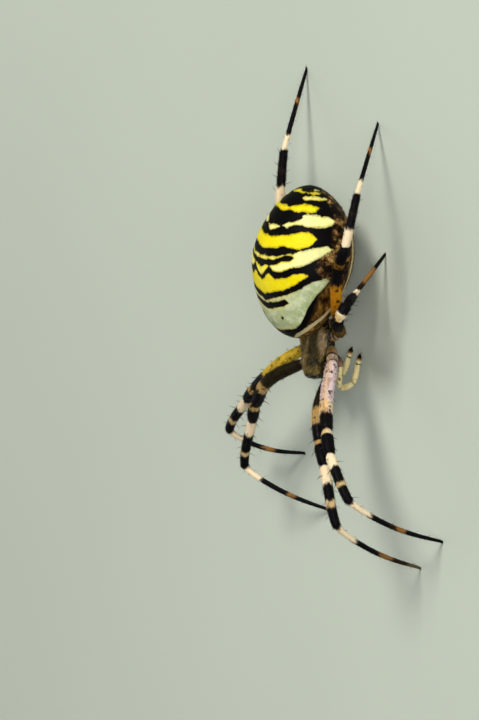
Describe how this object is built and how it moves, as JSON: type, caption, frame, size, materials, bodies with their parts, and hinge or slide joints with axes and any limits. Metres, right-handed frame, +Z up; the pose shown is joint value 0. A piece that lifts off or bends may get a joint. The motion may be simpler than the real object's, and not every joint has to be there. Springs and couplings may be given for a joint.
{
  "type": "wasp spider",
  "caption": "Life-size still model of a female wasp spider with a yellow and black banded abdomen and ringed legs, standing with its front legs reached forward.",
  "frame": {"origin": "middle of the whole spider's bounding box, on the floor under its feet", "axes": "-Y towards the head, +X towards the spider's left side, +Z up, away from the surface it stands on"},
  "size_m": [0.0296, 0.0438, 0.0102],
  "materials": {
    "carapace": "matt olive-brown cuticle under short silvery hairs",
    "abdomen": "soft satin skin with wavy yellow, cream and black bands",
    "leg": "satin cuticle ringed in cream, tan and black, with fine dark spines",
    "palp": "satin cream-yellow cuticle with dark tips",
    "chelicera": "satin dark brown cuticle",
    "eye": "polished black"
  },
  "bodies": {
    "root": {"prosoma": "carapace", "pedicel": "carapace", "abdomen": "abdomen", "spinnerets": "abdomen", "chelicera_left": "chelicera", "maxilla_left": "palp", "palp_left_femur": "palp", "palp_left_tibia": "palp", "eye_left_front_middle": "eye", "eye_left_rear_middle": "eye", "eye_left_front_side": "eye", "eye_left_rear_side": "eye", "leg_left_1_coxa": "leg", "leg_left_1_femur": "leg", "leg_left_1_patella": "leg", "leg_left_1_tibia": "leg", "leg_left_1_metatarsus": "leg", "leg_left_2_coxa": "leg", "leg_left_2_femur": "leg", "leg_left_2_patella": "leg", "leg_left_2_tibia": "leg", "leg_left_2_metatarsus": "leg", "leg_left_3_coxa": "leg", "leg_left_3_femur": "leg", "leg_left_3_patella": "leg", "leg_left_3_tibia": "leg", "leg_left_3_metatarsus": "leg", "leg_left_4_coxa": "leg", "leg_left_4_femur": "leg", "leg_left_4_patella": "leg", "leg_left_4_tibia": "leg", "leg_left_4_metatarsus": "leg", "chelicera_right": "chelicera", "maxilla_right": "palp", "palp_right_femur": "palp", "palp_right_tibia": "palp", "eye_right_front_middle": "eye", "eye_right_rear_middle": "eye", "eye_right_front_side": "eye", "eye_right_rear_side": "eye", "leg_right_1_coxa": "leg", "leg_right_1_femur": "leg", "leg_right_1_patella": "leg", "leg_right_1_tibia": "leg", "leg_right_1_metatarsus": "leg", "leg_right_2_coxa": "leg", "leg_right_2_femur": "leg", "leg_right_2_patella": "leg", "leg_right_2_tibia": "leg", "leg_right_2_metatarsus": "leg", "leg_right_3_coxa": "leg", "leg_right_3_femur": "leg", "leg_right_3_patella": "leg", "leg_right_3_tibia": "leg", "leg_right_3_metatarsus": "leg", "leg_right_4_coxa": "leg", "leg_right_4_femur": "leg", "leg_right_4_patella": "leg", "leg_right_4_tibia": "leg", "leg_right_4_metatarsus": "leg"}
  },
  "joints": []
}
